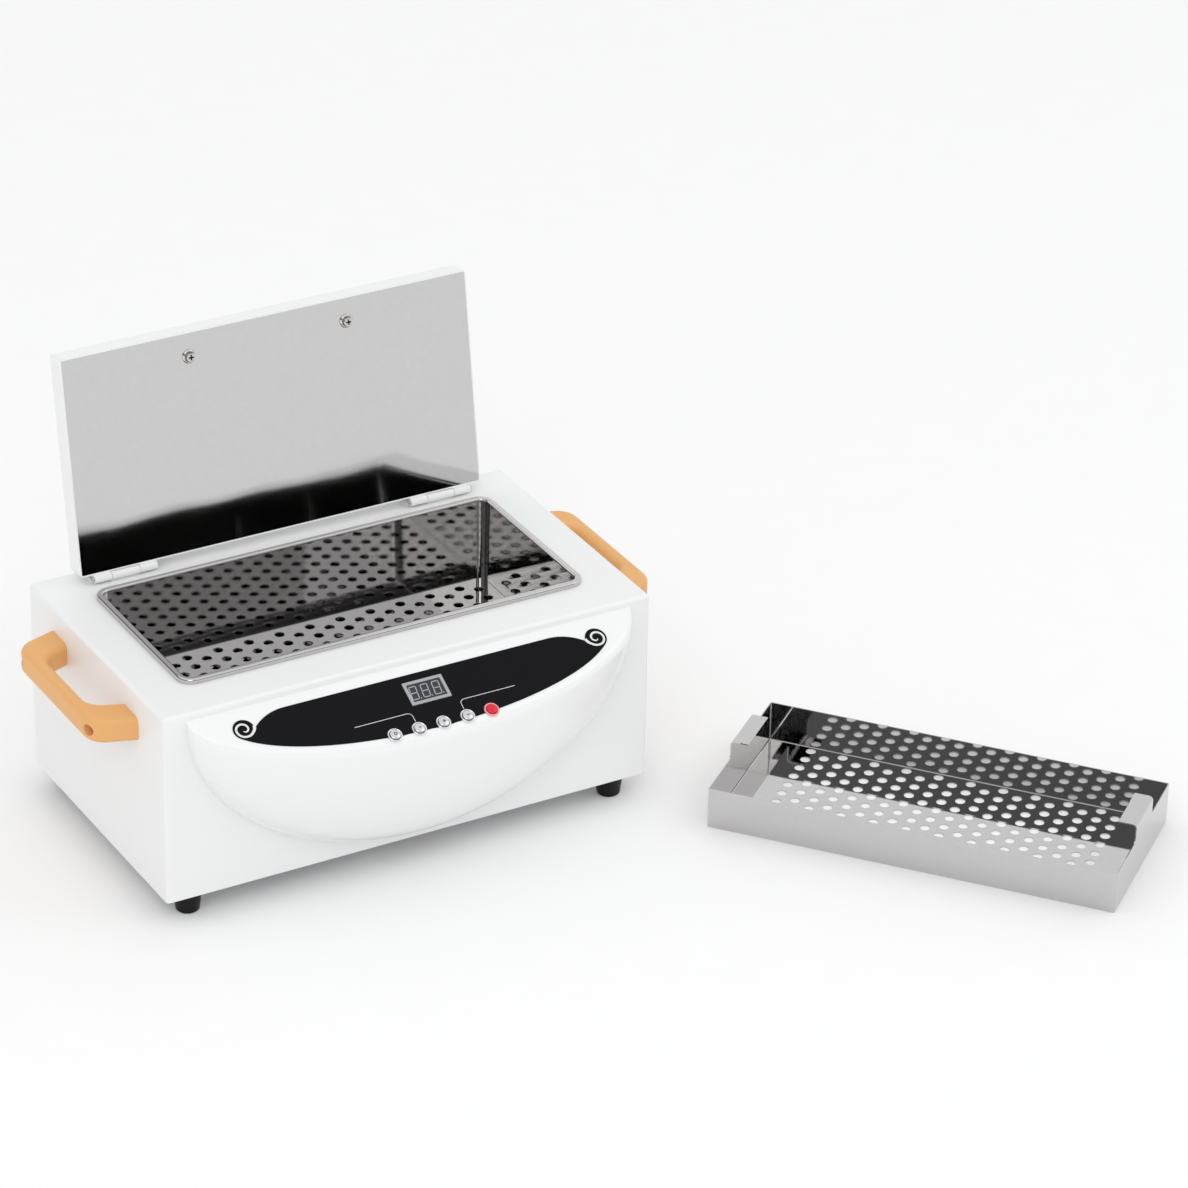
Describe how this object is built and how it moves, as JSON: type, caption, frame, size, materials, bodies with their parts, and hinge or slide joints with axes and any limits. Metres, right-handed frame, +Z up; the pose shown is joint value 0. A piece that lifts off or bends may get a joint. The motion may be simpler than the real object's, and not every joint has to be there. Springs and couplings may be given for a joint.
{
  "type": "dry heat sterilizer",
  "caption": "Benchtop dry heat sterilizer with a bowed control fascia, hinged mirror-lined lid shown open, side carrying handles and a lifted-out perforated instrument tray.",
  "frame": {"origin": "centre of the casing's footprint on the bench top", "axes": "+Z up, +X to the right as seen from the front, the control face looks towards -Y"},
  "size_m": [0.6852, 0.526, 0.3135],
  "materials": {
    "casing_white": "white powder coat on folded sheet",
    "zinc_sheet": "zinc plated sheet",
    "black_rubber": "black moulded rubber",
    "screw_steel": "zinc plated steel fasteners",
    "mirror_steel": "mirror polished stainless sheet",
    "fibre_wool": "ceramic fibre wool",
    "heater_plate": "flat strip heater",
    "cutout_body": "phenolic body",
    "fascia_white": "white gloss moulding",
    "label_black": "glossy black label",
    "frame_grey": "grey frame",
    "window_dark": "smoked window",
    "module_black": "digit module",
    "board_green": "glass fibre board",
    "switch_black": "black moulding",
    "ring_silver": "silver plated moulding",
    "button_silver": "silver moulding",
    "button_red": "red moulding",
    "potting_black": "potted transformer",
    "relay_blue": "relay cover",
    "terminal_green": "terminal block",
    "inlet_black": "black moulding",
    "pin_brass": "nickel plated brass",
    "handle_orange": "matt orange moulding",
    "pin_steel": "plain steel pin",
    "cup_steel": "polished cup washer"
  },
  "bodies": {
    "housing": {"casing": "casing_white", "base_plate": "zinc_sheet", "foot_front_left": "black_rubber", "foot_front_right": "black_rubber", "foot_rear_left": "black_rubber", "foot_rear_right": "black_rubber", "foot_screws": "screw_steel", "base_screws": "screw_steel", "chamber_tank": "mirror_steel", "chamber_floor": "mirror_steel", "insulation_jacket": "fibre_wool", "heater_front": "heater_plate", "heater_rear": "heater_plate", "heater_clamps": "zinc_sheet", "tank_clips": "zinc_sheet", "hex_nuts": "screw_steel", "thermal_cutout": "cutout_body", "temperature_sensor": "pin_steel", "fascia": "fascia_white", "fascia_screws": "screw_steel", "control_label": "label_black", "display_bezel": "frame_grey", "display_window": "window_dark", "display_module": "module_black", "control_board": "board_green", "board_screws": "screw_steel", "tact_switches": "switch_black", "button_bezels": "ring_silver", "power_board": "board_green", "board_standoffs": "pin_brass", "transformer": "potting_black", "relay": "relay_blue", "terminal_block": "terminal_green", "power_inlet": "inlet_black", "inlet_pins": "pin_brass", "rocker_housing": "inlet_black", "left_handle": "handle_orange", "right_handle": "handle_orange", "handle_screws": "screw_steel", "body_hinge_leaf_left": "casing_white", "body_hinge_leaf_right": "casing_white", "hinge_pins": "pin_steel", "hinge_body_screws": "screw_steel", "instrument_tray": "mirror_steel"},
    "lid": {"lid_shell": "casing_white", "lid_liner": "mirror_steel", "lid_insulation": "fibre_wool", "lid_hinge_leaf_left": "casing_white", "lid_hinge_leaf_right": "casing_white", "lid_hinge_screws": "screw_steel", "lid_handle": "handle_orange", "lid_handle_screws": "screw_steel", "lid_screw_cups": "cup_steel"},
    "menu_button": {"menu_button": "button_silver"},
    "set_button": {"set_button": "button_silver"},
    "plus_button": {"plus_button": "button_silver"},
    "minus_button": {"minus_button": "button_silver"},
    "reset_button": {"reset_button": "button_red"},
    "power_rocker": {"power_rocker": "inlet_black"}
  },
  "joints": [
    {"name": "lid_hinge", "type": "hinge", "parent": "housing", "child": "lid", "pos_m": [0, 0.0812, 0.1589], "axis": [1, 0, 0], "range_deg": [0, 98.9]},
    {"name": "menu_button_press", "type": "slide", "parent": "housing", "child": "menu_button", "axis": [0, 0.4617, -0.887], "range_m": [0, 0.0008], "stiffness_N_per_m": 400, "springref_m": -0.0005},
    {"name": "set_button_press", "type": "slide", "parent": "housing", "child": "set_button", "axis": [0, 0.4617, -0.887], "range_m": [0, 0.0008], "stiffness_N_per_m": 400, "springref_m": -0.0005},
    {"name": "plus_button_press", "type": "slide", "parent": "housing", "child": "plus_button", "axis": [0, 0.4617, -0.887], "range_m": [0, 0.0008], "stiffness_N_per_m": 400, "springref_m": -0.0005},
    {"name": "minus_button_press", "type": "slide", "parent": "housing", "child": "minus_button", "axis": [0, 0.4617, -0.887], "range_m": [0, 0.0008], "stiffness_N_per_m": 400, "springref_m": -0.0005},
    {"name": "reset_button_press", "type": "slide", "parent": "housing", "child": "reset_button", "axis": [0, 0.4617, -0.887], "range_m": [0, 0.0008], "stiffness_N_per_m": 400, "springref_m": -0.0005},
    {"name": "power_rocker_turn", "type": "hinge", "parent": "housing", "child": "power_rocker", "pos_m": [0.074, 0.105, 0.046], "axis": [0, 0, 1], "range_deg": [0, 16]}
  ]
}
